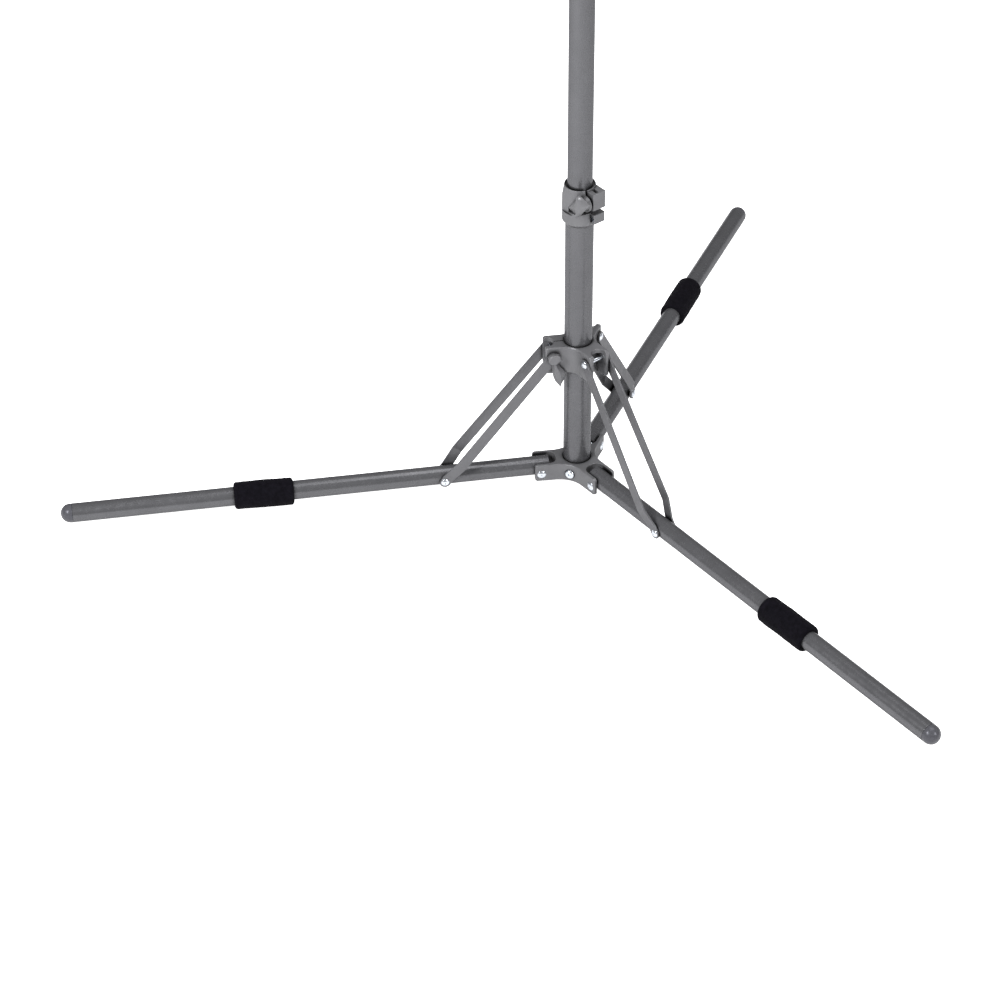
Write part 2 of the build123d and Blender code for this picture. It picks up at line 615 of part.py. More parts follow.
# ---------------------------------------------------------------- clamp collars
def clamp_collar(label, bottom, lower_r, upper_r):
    """Split barrel at the top of a tube, with a seat below and a clamp above."""
    barrel_r = lower_r + CLAMP_WALL
    reach = lower_r + BLOCK_REACH
    bolt_y = -(lower_r + BOLT_REACH)
    bush_r = upper_r + BUSH_WALL
    lip_r = lower_r + CLAMP_LIP_STEP
    top = bottom + CLAMP_HEIGHT
    with BuildPart() as piece:
        with BuildSketch(Plane.XZ):
            with BuildLine():
                Polyline(
                    (lower_r, bottom),
                    (lower_r + CLAMP_BASE_LAND, bottom),
                    (barrel_r, bottom + CLAMP_CHAMFER),
                    (barrel_r, bottom + CLAMP_SHOULDER),
                    (lip_r + CLAMP_TOP_LAND, top),
                    (lip_r, top),
                    (lip_r, top - CLAMP_LIP),
                    (bush_r, top - CLAMP_LIP),
                    (bush_r, bottom + CLAMP_SEAT),
                    (lower_r, bottom + CLAMP_SEAT),
                    close=True,
                )
            make_face()
        revolve(axis=Axis.Z)
        with BuildSketch(Plane.XY.offset(bottom + CLAMP_SLOT[0] - CLAMP_FLAT)):
            block(-barrel_r - 1, -barrel_r + CLAMP_FLAT, -barrel_r, barrel_r)
        extrude(amount=CLAMP_HEIGHT, mode=Mode.SUBTRACT)
        with BuildSketch(Plane.XY.offset(bottom + CLAMP_LOWER_BLOCK[0])):
            block(LOWER_BLOCK_LEFT, BLOCK_RIGHT, -reach + LOWER_BLOCK_INSET, -lower_r)
        extrude(amount=CLAMP_LOWER_BLOCK[1] - CLAMP_LOWER_BLOCK[0])
        with BuildSketch(Plane.XY.offset(bottom + CLAMP_UPPER_BLOCK[0])):
            block(SPLIT_X[1], BLOCK_RIGHT, -reach, BLOCK_BACK)
        extrude(amount=CLAMP_UPPER_BLOCK[1] - CLAMP_UPPER_BLOCK[0])
        ends = piece.edges().filter_by(Axis.Z).filter_by(lambda edge: edge.center().Y < -reach + 1)
        fillet(ends, BLOCK_FILLET)
        with BuildSketch(Plane.YZ.offset(LUG_LEFT)):
            with Locations((bolt_y + LUG_INSET, bottom + CLAMP_BOLT_Z - LUG_INSET)):
                Circle(LUG_R)
        extrude(amount=SPLIT_X[0] - LUG_LEFT)
        with BuildSketch(Plane.XY.offset(bottom)):
            Circle(lower_r)
        extrude(amount=CLAMP_SEAT, mode=Mode.SUBTRACT)
        with BuildSketch(Plane.XY.offset(bottom + CLAMP_SEAT)):
            Circle(bush_r)
        extrude(amount=CLAMP_HEIGHT, mode=Mode.SUBTRACT)
        with BuildSketch(Plane.XY.offset(top - CLAMP_LIP)):
            Circle(lip_r)
        extrude(amount=CLAMP_LIP, mode=Mode.SUBTRACT)
        with BuildSketch(Plane.YZ.offset(LUG_LEFT)):
            with Locations((bolt_y, bottom + CLAMP_BOLT_Z)):
                Circle(KNOB_FLANGE_R + KNOB_POCKET_GAP)
        extrude(amount=-barrel_r, mode=Mode.SUBTRACT)
        with BuildSketch(Plane.XY.offset(bottom + CLAMP_SLOT[0])):
            block(-reach - 1, reach, -reach - 1, CLAMP_SLOT_Y)
        extrude(amount=CLAMP_SLOT[1] - CLAMP_SLOT[0], mode=Mode.SUBTRACT)
        with BuildSketch(Plane.XY.offset(bottom + CLAMP_SLOT[1])):
            block(SPLIT_X[0], SPLIT_X[1], -reach - 1, 0)
        extrude(amount=CLAMP_HEIGHT, mode=Mode.SUBTRACT)
        with BuildSketch(Plane.XY.offset(bottom + CLAMP_UPPER_BLOCK[1])):
            block(NUT_X[0], NUT_X[1], bolt_y - NUT_SIZE / 2, bolt_y + NUT_SIZE / 2)
        nut_floor = CLAMP_BOLT_Z - NUT_SIZE / 2
        extrude(amount=nut_floor - CLAMP_UPPER_BLOCK[1], mode=Mode.SUBTRACT)
        with BuildSketch(Plane.YZ.offset(LUG_LEFT)):
            with Locations((bolt_y, bottom + CLAMP_BOLT_Z)):
                Circle(RIVET_R + RUN_FIT)
        extrude(amount=STUD_HOLE_X - LUG_LEFT, mode=Mode.SUBTRACT)
        with BuildSketch(Plane.YZ.offset(LOWER_BLOCK_LEFT)):
            with Locations((bolt_y, bottom + CLAMP_SCREW_Z)):
                Circle(SET_SCREW_R + SET_SCREW_GAP)
        extrude(amount=SET_SCREW_X[1] - LOWER_BLOCK_LEFT, mode=Mode.SUBTRACT)
        with BuildSketch(Plane.YZ.offset(SET_SCREW_X[1])):
            with Locations((bolt_y, bottom + CLAMP_SCREW_Z)):
                Circle(SET_SCREW_PIN_R)
        extrude(amount=SET_SCREW_HOLE, mode=Mode.SUBTRACT)
    save(piece, f"{label}_clamp_collar")


def block(left, right, near, far):
    """Rectangle between two x and two y values."""
    with Locations(((left + right) / 2, (near + far) / 2)):
        Rectangle(right - left, far - near)


def clamp_bush(label, bottom, lower_r, upper_r):
    """Split plastic liner inside the clamp, flanged at its top."""
    bush_r = upper_r + BUSH_WALL
    start = bottom + CLAMP_SEAT + BUSH_GAP
    top = bottom + CLAMP_HEIGHT - CLAMP_LIP + BUSH_FLANGE
    with BuildPart() as piece:
        with BuildSketch(Plane.XY.offset(start)):
            Circle(bush_r)
            Circle(upper_r + RUN_FIT, mode=Mode.SUBTRACT)
        extrude(amount=top - start)
        with BuildSketch(Plane.XY.offset(top - BUSH_FLANGE)):
            Circle(lower_r + CLAMP_LIP_STEP)
            Circle(upper_r + RUN_FIT, mode=Mode.SUBTRACT)
        extrude(amount=BUSH_FLANGE)
        with BuildSketch(Plane.XY.offset(bottom)):
            block(SPLIT_X[0], SPLIT_X[1], -lower_r - 2, 0)
        extrude(amount=CLAMP_HEIGHT, mode=Mode.SUBTRACT)
    save(piece, f"{label}_clamp_bush")


def clamp_nut(label, bottom, lower_r):
    """Square nut held in the slot of the upper block."""
    bolt_y = -(lower_r + BOLT_REACH)
    width = NUT_SIZE - 2 * NUT_GAP
    with BuildPart() as piece:
        with BuildSketch(Plane.YZ.offset(NUT_X[0] + NUT_GAP)):
            with Locations((bolt_y, bottom + CLAMP_BOLT_Z)):
                RectangleRounded(width, width, NUT_CORNER)
                Circle(RIVET_R + RUN_FIT, mode=Mode.SUBTRACT)
        extrude(amount=NUT_X[1] - NUT_X[0] - 2 * NUT_GAP)
    save(piece, f"{label}_clamp_nut")


def clamp_set_screw(label, bottom, lower_r):
    """Socket screw sunk in the lower block."""
    front, back = SET_SCREW_X
    facing = Plane.YZ.offset(front)
    place = (-(lower_r + BOLT_REACH), bottom + CLAMP_SCREW_Z)
    with BuildPart() as piece:
        with BuildSketch(facing):
            with Locations(place):
                Circle(SET_SCREW_R)
        extrude(amount=back - front)
        with BuildSketch(Plane.YZ.offset(back)):
            with Locations(place):
                Circle(SET_SCREW_PIN_R)
        extrude(amount=SET_SCREW_PIN)
        with BuildSketch(facing):
            with Locations(place):
                RegularPolygon(SET_SCREW_SOCKET_R, 6)
        extrude(amount=SET_SCREW_SOCKET, mode=Mode.SUBTRACT)
    save(piece, f"{label}_clamp_set_screw")


def wing_x(lower_r):
    """Where the back of the wing stands, just clear of the barrel's flat."""
    return -(lower_r + CLAMP_WALL - CLAMP_FLAT) - KNOB_GAP


def clamp_knob(label, bottom, lower_r):
    """Wing knob in front of the clamp, with a flange, a round neck and a ridged wing."""
    bolt_y = -(lower_r + BOLT_REACH)
    back = wing_x(lower_r)
    facing = Plane(origin=(0, bolt_y, bottom + CLAMP_BOLT_Z), x_dir=(0, -1, 0), z_dir=(-1, 0, 0))
    with BuildPart() as piece:
        with BuildSketch(facing.offset(-LUG_LEFT + KNOB_LUG_GAP)):
            Circle(KNOB_FLANGE_R)
        extrude(amount=KNOB_FLANGE)
        with BuildSketch(facing.offset(-LUG_LEFT + KNOB_LUG_GAP)):
            Circle(KNOB_NECK_R)
        extrude(amount=-back + LUG_LEFT + 1)
        with BuildSketch(facing.offset(-back)):
            diamond(KNOB_HALF_LENGTH, KNOB_HALF_HEIGHT, KNOB_SKEW)
        with BuildSketch(facing.offset(-back + KNOB_DEPTH)):
            diamond(KNOB_RIDGE, KNOB_HALF_HEIGHT - KNOB_BEVEL, 0)
        loft()
        with BuildSketch(facing.offset(-LUG_LEFT)):
            Circle(RIVET_R)
        extrude(amount=-back + LUG_LEFT, mode=Mode.SUBTRACT)
    save(piece, f"{label}_clamp_knob")


def diamond(half_length, half_height, skew):
    """Four-sided outline centred on the sketch's origin, its side corners raised and lowered by the skew."""
    with BuildLine() as outline:
        Polyline((-half_length, -skew), (0, half_height), (half_length, skew), (0, -half_height), close=True)
    make_face(outline.edges())


def clamp_stud(label, bottom, lower_r):
    """Threaded stud pressed into the knob, running through the lugs into the nut."""
    bolt_y = -(lower_r + BOLT_REACH)
    back = wing_x(lower_r)
    with BuildPart() as piece:
        with BuildSketch(Plane.YZ.offset(back)):
            with Locations((bolt_y, bottom + CLAMP_BOLT_Z)):
                Circle(RIVET_R)
        extrude(amount=STUD_TIP_X - back)
    save(piece, f"{label}_clamp_stud")


def clamp_set(label, bottom, lower_r, upper_r):
    clamp_collar(label, bottom, lower_r, upper_r)
    clamp_bush(label, bottom, lower_r, upper_r)
    clamp_nut(label, bottom, lower_r)
    clamp_set_screw(label, bottom, lower_r)
    clamp_knob(label, bottom, lower_r)
    clamp_stud(label, bottom, lower_r)


# ---------------------------------------------------------------- telescopic sections
def column_tube(label, radius, bottom, length):
    with BuildPart() as piece:
        with BuildSketch(Plane.XY.offset(bottom)):
            Circle(radius)
            Circle(radius - TUBE_WALL, mode=Mode.SUBTRACT)
        extrude(amount=length)
        if label == "top_tube":
            roll_pin_hole()
    save(piece, label)


def roll_pin_hole():
    """Cut the roll pin's hole across the top tube and the spigot's plug."""
    with BuildSketch(Plane.XZ.offset(-TOP_R)) as hole:
        with Locations((0, TOP_TOP - ROLL_PIN_DROP)):
            Circle(ROLL_PIN_R)
    extrude(hole.sketch, amount=2 * TOP_R, mode=Mode.SUBTRACT)


def guide_bush(label, radius, bottom, bore_r):
    """Plastic ring round a tube's lower end that guides it inside the next tube."""
    with BuildPart() as piece:
        with BuildSketch(Plane.XY.offset(bottom)):
            Circle(bore_r - RUN_FIT)
            Circle(radius + RUN_FIT, mode=Mode.SUBTRACT)
        extrude(amount=BUSH_LENGTH)
    save(piece, label)


def spigot():
    """Turned spigot with a shoulder on the top tube, a plug inside it and a safety groove."""
    plug_r = TOP_R - TUBE_WALL
    groove_r = SPIGOT_R - SPIGOT_GROOVE_DEPTH
    groove_start, groove_end = SPIGOT_GROOVE
    with BuildPart() as piece:
        with BuildSketch(Plane.XZ):
            with BuildLine():
                Polyline(
                    (0, TOP_TOP - SPIGOT_PLUG),
                    (plug_r, TOP_TOP - SPIGOT_PLUG),
                    (plug_r, TOP_TOP),
                    (TOP_R, TOP_TOP),
                    (TOP_R, SPIGOT_BASE - SHOULDER_CHAMFER),
                    (TOP_R - SHOULDER_CHAMFER, SPIGOT_BASE),
                    (SPIGOT_R, SPIGOT_BASE),
                    (SPIGOT_R, SPIGOT_BASE + groove_start),
                    (groove_r, SPIGOT_BASE + groove_start + SPIGOT_GROOVE_DEPTH),
                    (groove_r, SPIGOT_BASE + groove_end - SPIGOT_GROOVE_DEPTH),
                    (SPIGOT_R, SPIGOT_BASE + groove_end),
                    (SPIGOT_R, SPIGOT_TIP - SPIGOT_CHAMFER),
                    (SPIGOT_R - SPIGOT_CHAMFER, SPIGOT_TIP),
                    (0, SPIGOT_TIP),
                    close=True,
                )
            make_face()
        revolve(axis=Axis.Z)
        with BuildSketch(Plane.XY.offset(SPIGOT_TIP)):
            Circle(STUD_NECK_R)
        extrude(amount=-STUD_NECK, mode=Mode.SUBTRACT)
        roll_pin_hole()
    save(piece, "spigot")


def spigot_stud():
    """Camera-thread stud whose thinner neck is screwed into the spigot's top."""
    with BuildPart() as piece:
        with BuildSketch(Plane.XY.offset(SPIGOT_TIP)):
            Circle(STUD_R)
        extrude(amount=STUD_LENGTH)
        chamfer(piece.edges().filter_by(GeomType.CIRCLE).sort_by(Axis.Z)[-1], STUD_CHAMFER)
        with BuildSketch(Plane.XY.offset(SPIGOT_TIP)):
            Circle(STUD_NECK_R)
        extrude(amount=-STUD_NECK)
    save(piece, "spigot_stud")


def spigot_pin():
    """Roll pin across the top tube and the spigot's plug."""
    with BuildPart() as piece:
        with BuildSketch(Plane.XZ.offset(-TOP_R + ROLL_PIN_RECESS)):
            with Locations((0, TOP_TOP - ROLL_PIN_DROP)):
                Circle(ROLL_PIN_R)
        extrude(amount=2 * (TOP_R - ROLL_PIN_RECESS))
    save(piece, "spigot_pin")


# ---------------------------------------------------------------- the whole stand
base_tube()
base_plug()
hub_casting()
hub_screw()
hub_pivot_rivets()
for leg in LEG_SIDES:
    leg_tube(leg)
    foot_cap(leg)
    foam_sleeve(leg)
    leg_brace_pin(leg)
    brace_strip(leg, 1, f"{leg}_brace_strip_left")
    brace_strip(leg, -1, f"{leg}_brace_strip_right")
    brace_rivet_heads(leg)
brace_collar()
collar_bush()
collar_rivets()
collar_clamp_bolt()
collar_lever()
clamp_set("base", BASE_CLAMP_Z, BASE_R, MID_R)
column_tube("mid_tube", MID_R, MID_BOTTOM, MID_LENGTH)
guide_bush("mid_guide_bush", MID_R, MID_BOTTOM, BASE_R - TUBE_WALL)
clamp_set("mid", MID_CLAMP_Z, MID_R, TOP_R)
column_tube("top_tube", TOP_R, TOP_BOTTOM, TOP_LENGTH)
guide_bush("top_guide_bush", TOP_R, TOP_BOTTOM, MID_R - TUBE_WALL)
spigot()
spigot_stud()
spigot_pin()
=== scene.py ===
import json
from math import cos, pi, radians, sin

import bmesh
import bpy
from mathutils import Matrix, Vector, noise


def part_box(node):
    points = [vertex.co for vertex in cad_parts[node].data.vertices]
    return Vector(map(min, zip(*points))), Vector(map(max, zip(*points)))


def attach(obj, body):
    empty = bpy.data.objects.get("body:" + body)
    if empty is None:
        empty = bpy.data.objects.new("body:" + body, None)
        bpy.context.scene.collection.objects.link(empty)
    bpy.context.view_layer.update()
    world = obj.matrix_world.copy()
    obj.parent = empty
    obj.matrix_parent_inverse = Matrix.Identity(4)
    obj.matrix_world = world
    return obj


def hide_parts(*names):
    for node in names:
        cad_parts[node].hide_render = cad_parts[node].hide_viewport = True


# A folding lighting stand on a white floor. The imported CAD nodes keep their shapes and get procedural
# finishes; the foam sleeves and the threaded stud are built here. Metres, in the CAD's own frame.

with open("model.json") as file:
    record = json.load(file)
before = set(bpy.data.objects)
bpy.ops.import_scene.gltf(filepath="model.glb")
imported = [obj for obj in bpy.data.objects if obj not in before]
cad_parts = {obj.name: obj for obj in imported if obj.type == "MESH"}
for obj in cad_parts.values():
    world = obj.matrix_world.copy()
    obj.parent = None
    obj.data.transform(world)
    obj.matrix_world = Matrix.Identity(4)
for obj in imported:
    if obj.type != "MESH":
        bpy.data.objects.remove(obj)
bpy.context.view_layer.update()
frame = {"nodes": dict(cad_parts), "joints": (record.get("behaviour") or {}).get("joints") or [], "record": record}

MM = 0.001
LEGS = ("front", "left", "right")


# ---------------------------------------------------------------- shader helpers
class Shader:
    """A node material under construction."""

    def __init__(self, name):
        self.material = bpy.data.materials.new(name)
        self.material.use_nodes = True
        self.tree = self.material.node_tree
        self.tree.nodes.clear()
        self.place = self.add("ShaderNodeTexCoord").outputs["Object"]
        self.surface = self.add("ShaderNodeBsdfPrincipled")
        output = self.add("ShaderNodeOutputMaterial")
        self.tree.links.new(self.surface.outputs["BSDF"], output.inputs["Surface"])

    def add(self, kind, settings=None, **inputs):
        """Add a node; settings are its properties, inputs its sockets with _ for a space."""
        made = self.tree.nodes.new(kind)
        for key, value in (settings or {}).items():
            setattr(made, key, value)
        for key, value in inputs.items():
            self.put(made.inputs[key.replace("_", " ")], value)
        return made

    def put(self, socket, value):
        """Link a socket to an output, or give it a plain value."""
        if isinstance(value, bpy.types.NodeSocket):
            self.tree.links.new(value, socket)
        else:
            socket.default_value = value

    def set(self, **inputs):
        """Set inputs of the surface, with _ for a space."""
        for key, value in inputs.items():
            self.put(self.surface.inputs[key.replace("_", " ")], value)

    def noise(self, size, detail=2.0, roughness=0.5):
        """Noise between 0 and 1 whose features are about size metres across."""
        made = self.add("ShaderNodeTexNoise", Vector=self.place, Scale=1 / size, Detail=detail,
                        Roughness=roughness)
        return made.outputs["Fac"]

    def cells(self, size):
        """Distance to the nearest cell centre, for cells about size metres across."""
        return self.add("ShaderNodeTexVoronoi", Vector=self.place, Scale=1 / size).outputs["Distance"]

    def span(self, value, low, high, new_low, new_high):
        """Map a value from one range to another, clamped."""
        made = self.add("ShaderNodeMapRange", Value=value, From_Min=low, From_Max=high, To_Min=new_low,
                        To_Max=new_high)
        return made.outputs["Result"]

    def product(self, first, second):
        """Multiply two values."""
        made = self.add("ShaderNodeMath", {"operation": "MULTIPLY"})
        self.put(made.inputs[0], first)
        self.put(made.inputs[1], second)
        return made.outputs["Value"]

    def patches(self, size, detail):
        """Soft patches, 0 or 1 in their middles, about size metres across."""
        return self.span(self.noise(size, detail), 0.35, 0.65, 0, 1)

    def uneven(self, size, detail, low, high):
        """A value that wanders between low and high, over about size metres."""
        return self.span(self.noise(size, detail), 0.3, 0.7, low, high)

    def mix(self, share, first, second):
        """Blend two colours, with all of the second at a share of 1."""
        made = self.add("ShaderNodeMix", {"data_type": "RGBA"})
        self.put(made.inputs["Factor"], share)
        self.put(made.inputs[6], first)
        self.put(made.inputs[7], second)
        return made.outputs[2]

    def rounded(self, radius):
        """Normal that rounds hard edges by a radius in metres."""
        return self.add("ShaderNodeBevel", {"samples": 4}, Radius=radius).outputs["Normal"]

    def edges(self, radius):
        """1 along hard edges and 0 on open faces."""
        geometry = self.add("ShaderNodeNewGeometry")
        bent = self.add("ShaderNodeVectorMath", {"operation": "DOT_PRODUCT"})
        self.put(bent.inputs[0], self.rounded(radius))
        self.put(bent.inputs[1], geometry.outputs["Normal"])
        return self.span(bent.outputs["Value"], 0.995, 0.8, 0.0, 1.0)

    def unshaded(self, reach):
        """1 on open faces, falling to 0 in gaps and corners narrower than reach; it says where painted shade goes.
        """
        light = self.add("ShaderNodeAmbientOcclusion", {"samples": 6}, Distance=reach)
        return self.span(light.outputs["AO"], 0.4, 0.9, 0.0, 1.0)

    def turned_away(self):
        """0 facing the viewer and 1 at a silhouette."""
        return self.add("ShaderNodeLayerWeight", Blend=0.5).outputs["Facing"]

    def bump(self, height, distance, normal=None):
        """Normal bent by a height of 0 to 1 that stands for distance metres."""
        made = self.add("ShaderNodeBump", Height=height, Distance=distance, Strength=1.0)
        if normal is not None:
            self.put(made.inputs["Normal"], normal)
        return made.outputs["Normal"]


def shade(colour, factor):
    """A colour made lighter or darker, with its alpha."""
    return tuple(channel * factor for channel in colour) + (1.0,)


# ---------------------------------------------------------------- finishes
# shades of a coating's own colour
RUBBED_AND_HIGHLIT = 2.4  # on edges: rubbed wear and a painted highlight
RIM_SHADE = 0.35  # painted shade at a silhouette
COAT_CREVICE_SHADE = 0.03  # painted shade in gaps and corners
COAT_GLOSS = 4.0  # in reflections
COAT_SHADE_REACH = 5 * MM  # reach of the painted shade in gaps
# painted shade in the zinc plate's gaps and corners, and its reach
PLATE_CREVICE_SHADE = 0.05
PLATE_SHADE_REACH = 1.5 * MM
RING_DENSITY = 1 / (2.4 * MM)  # scale of the rings on turned steel


def coated_metal(name, colour, grain, depth, roughness, metallic, edge_radius):
    """Coated metal: soft mottling, a fine grain, lighter edges in patches that stand for rubbed wear and a painted
    highlight, and painted shade at silhouettes and in gaps.
    """
    made = Shader(name)
    speck = made.patches(grain, 2)
    base = made.mix(made.patches(22 * MM, 3), shade(colour, 0.95), shade(colour, 1.05))
    base = made.mix(made.product(speck, 0.35), base, shade(colour, 0.86))
    # lighter edges in patches: rubbed wear and a painted highlight where edges catch the light
    rub_and_highlight_patches = made.span(made.noise(9 * MM, 4), 0.42, 0.6, 0.15, 0.7)
    rub_and_highlight = made.product(made.edges(edge_radius), rub_and_highlight_patches)
    base = made.mix(rub_and_highlight, base, shade(colour, RUBBED_AND_HIGHLIT))
    # painted shade that darkens the coating towards its silhouettes
    painted_rim_shade = made.span(made.turned_away(), 0.45, 1.0, 0.0, 0.7)
    base = made.mix(painted_rim_shade, base, shade(colour, RIM_SHADE))
    made.set(
        # painted shade darkens the base colour in gaps and corners
        Base_Color=made.mix(made.unshaded(COAT_SHADE_REACH), shade(colour, COAT_CREVICE_SHADE), base),
        Metallic=metallic,
        Specular_Tint=shade(colour, COAT_GLOSS),
        Roughness=made.uneven(6 * MM, 4, roughness - 0.05, roughness + 0.06),
        Normal=made.bump(speck, depth, normal=made.rounded(edge_radius)),
    )
    return made.material


def bright_plate(name, colour, roughness, edge_radius):
    """Zinc plate: a fine uneven surface and faint clouding, with painted shade in gaps."""
    made = Shader(name)
    base = made.mix(made.patches(3 * MM, 3), shade(colour, 0.9), shade(colour, 1.04))
    made.set(
        # painted shade darkens the base colour in gaps and corners
        Base_Color=made.mix(made.unshaded(PLATE_SHADE_REACH), shade(colour, PLATE_CREVICE_SHADE), base),
        Metallic=1.0,
        Roughness=made.uneven(0.8 * MM, 4, roughness - 0.06, roughness + 0.08),
        Normal=made.bump(made.noise(0.35 * MM, 3), 0.012 * MM, normal=made.rounded(edge_radius)),
    )
    return made.material


def turned_steel(name, colour):
    """Turned steel with fine rings round the column's axis."""
    made = Shader(name)
    bands = {"bands_direction": "Z"}
    rings = made.add("ShaderNodeTexWave", bands, Vector=made.place, Scale=RING_DENSITY, Distortion=0.4,
                     Detail=3.0)
    ring = rings.outputs["Fac"]
    made.set(
        Base_Color=made.mix(ring, shade(colour, 0.92), shade(colour, 1.02)),
        Metallic=1.0,
        Roughness=made.uneven(1.5 * MM, 4, 0.18, 0.3),
        Normal=made.bump(ring, 0.01 * MM, normal=made.rounded(0.25 * MM)),
    )
    return made.material


def moulded_plastic(name, colour, roughness, grain, depth):
    """Moulded plastic or rubber with a fine matt texture."""
    made = Shader(name)
    texture = made.noise(grain, 3, 0.6)
    made.set(
        Base_Color=made.mix(made.patches(12 * MM, 3), shade(colour, 0.92), shade(colour, 1.1)),
        Roughness=made.uneven(4 * MM, 3, roughness - 0.06, roughness + 0.06),
        Normal=made.bump(texture, depth, normal=made.rounded(0.3 * MM)),
    )
    return made.material


def foam(name, colour):
    """Foam: small pores in a matt skin, with pale flecks and a faint sheen."""
    made = Shader(name)
    pores = made.cells(0.55 * MM)
    patch = made.span(made.noise(5 * MM, 4, 0.6), 0.35, 0.65, 0, 1)
    fleck = made.span(made.noise(0.5 * MM, 2), 0.55, 0.75, 0, 1)
    base = made.mix(patch, shade(colour, 0.7), shade(colour, 1.5))
    base = made.mix(made.product(fleck, 0.5), base, shade(colour, 3.2))
    skin = made.bump(patch, 0.25 * MM)
    made.set(
        Base_Color=base,
        Roughness=0.92,
        Specular_IOR_Level=0.04,
        Sheen_Weight=0.008,
        Sheen_Roughness=0.6,
        Sheen_Tint=(0.62, 0.58, 0.7, 1.0),
        Normal=made.bump(pores, 0.16 * MM, normal=skin),
    )
    return made.material


FINISHES = {
    "tube_grey": coated_metal(
        "tube_grey", (0.094, 0.094, 0.1), grain=0.6 * MM, depth=0.0012 * MM, roughness=0.25, metallic=0.5,
        edge_radius=0.3 * MM,
    ),
    "cast_grey": coated_metal(
        "cast_grey", (0.122, 0.122, 0.128), grain=0.75 * MM, depth=0.03 * MM, roughness=0.4, metallic=0.35,
        edge_radius=0.7 * MM,
    ),
    "strip_grey": coated_metal(
        "strip_grey", (0.108, 0.108, 0.114), grain=0.6 * MM, depth=0.01 * MM, roughness=0.34, metallic=0.45,
        edge_radius=0.3 * MM,
    ),
    "cap_grey": coated_metal(
        "cap_grey", (0.06, 0.06, 0.068), grain=0.5 * MM, depth=0.002 * MM, roughness=0.26, metallic=0.1,
        edge_radius=0.3 * MM,
    ),
    "zinc": bright_plate("zinc", (0.6, 0.63, 0.68), roughness=0.24, edge_radius=0.25 * MM),
    "plastic_black": moulded_plastic(
        "plastic_black", (0.018, 0.018, 0.02), roughness=0.5, grain=0.5 * MM, depth=0.02 * MM
    ),
    "rubber_black": moulded_plastic(
        "rubber_black", (0.02, 0.02, 0.021), roughness=0.75, grain=0.8 * MM, depth=0.04 * MM
    ),
    "spigot_steel": turned_steel("spigot_steel", (0.7, 0.71, 0.73)),
    "foam_black": foam("foam_black", (0.0028, 0.0025, 0.0038)),
}


def finish_cad_nodes():
    """Give every CAD node the finish of its material slot."""
    for subpart in frame["record"]["subparts"]:
        node = frame["nodes"][subpart["node"]]
        node.data.materials.clear()
        node.data.materials.append(FINISHES[subpart["material_slot"]])


# ---------------------------------------------------------------- mesh helpers
def body_of(node):
    """Name of the body that holds a CAD node."""
    bodies = frame["record"]["behaviour"]["bodies"]
    return next(body for body, members in bodies.items() if node in members)


def new_piece(name, mesh, finish, body):
    """Put a finished bmesh into the scene as a smooth piece that rides on a body."""
    data = bpy.data.meshes.new(name)
    mesh.to_mesh(data)
    mesh.free()
    for face in data.polygons:
        face.use_smooth = True
    piece = bpy.data.objects.new(name, data)
    bpy.context.scene.collection.objects.link(piece)
    data.materials.append(FINISHES[finish])
    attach(piece, body)
    return piece


def join_rings(rings, looped):
    """Bmesh of rings joined by bands of faces. Looped rings meet again; others get a face at each end."""
    mesh = bmesh.new()
    rows = [[mesh.verts.new(point) for point in ring] for ring in rings]
    count = len(rows[0])
    for row, after in zip(rows, rows[1:] + rows[:1] if looped else rows[1:]):
        for index in range(count):
            following = (index + 1) % count
            mesh.faces.new((row[index], row[following], after[following], after[index]))
    if not looped:
        mesh.faces.new(list(reversed(rows[0])))
        mesh.faces.new(rows[-1])
    bmesh.ops.recalc_face_normals(mesh, faces=mesh.faces)
    return mesh


def across(direction):
    """Two unit vectors square to a direction and to each other."""
    first = direction.cross(Vector((0, 0, 1))).normalized()
    return first, first.cross(direction).normalized()


# ---------------------------------------------------------------- foam sleeves
SLEEVE_AROUND = 120
SLEEVE_RINGS = 90
SLEEVE_ROUNDING = 3.4 * MM
SLEEVE_SKIN = 0.15 * MM  # how far the foam stands inside its CAD solid before it swells
SLEEVE_SWELL = 0.45 * MM
SLEEVE_BORE_RINGS = 12
SLEEVE_BARREL = 0.25 * MM  # how much fuller the middle is
SLEEVE_FADE = 4 * MM  # the skin is less uneven this near to an end
SLEEVE_END_SWELL = 0.3  # share of the swell that is left at an end
SLEEVE_LUMP = 14 * MM  # size of the broad lumps
SLEEVE_SMALL_LUMP = 5 * MM  # size of the small ones, which are half as strong
NOISE_PLACE = Vector((7.3, 1.9, 4.1))  # each sleeve takes its lumps from another place in the noise
FLOOR_GAP = 0.1 * MM  # the foam is pressed flat just above the floor


def sleeve_axis(node, outward):
    """Centres of the two ends of a leg's sleeve, its radius and its bore's, from its CAD solid."""
    points = [vertex.co for vertex in frame["nodes"][node].data.vertices]
    reaches = [point.dot(outward) for point in points]
    ends = []
    for limit in (min(reaches), max(reaches)):
        ring = [point for point, reach in zip(points, reaches) if abs(reach - limit) < 1 * MM]
        ends.append(sum(ring, Vector()) / len(ring))
    direction = (ends[1] - ends[0]).normalized()
    distances = [(point - ends[0]).cross(direction).length for point in points]
    return ends[0], ends[1], max(distances), min(distances)


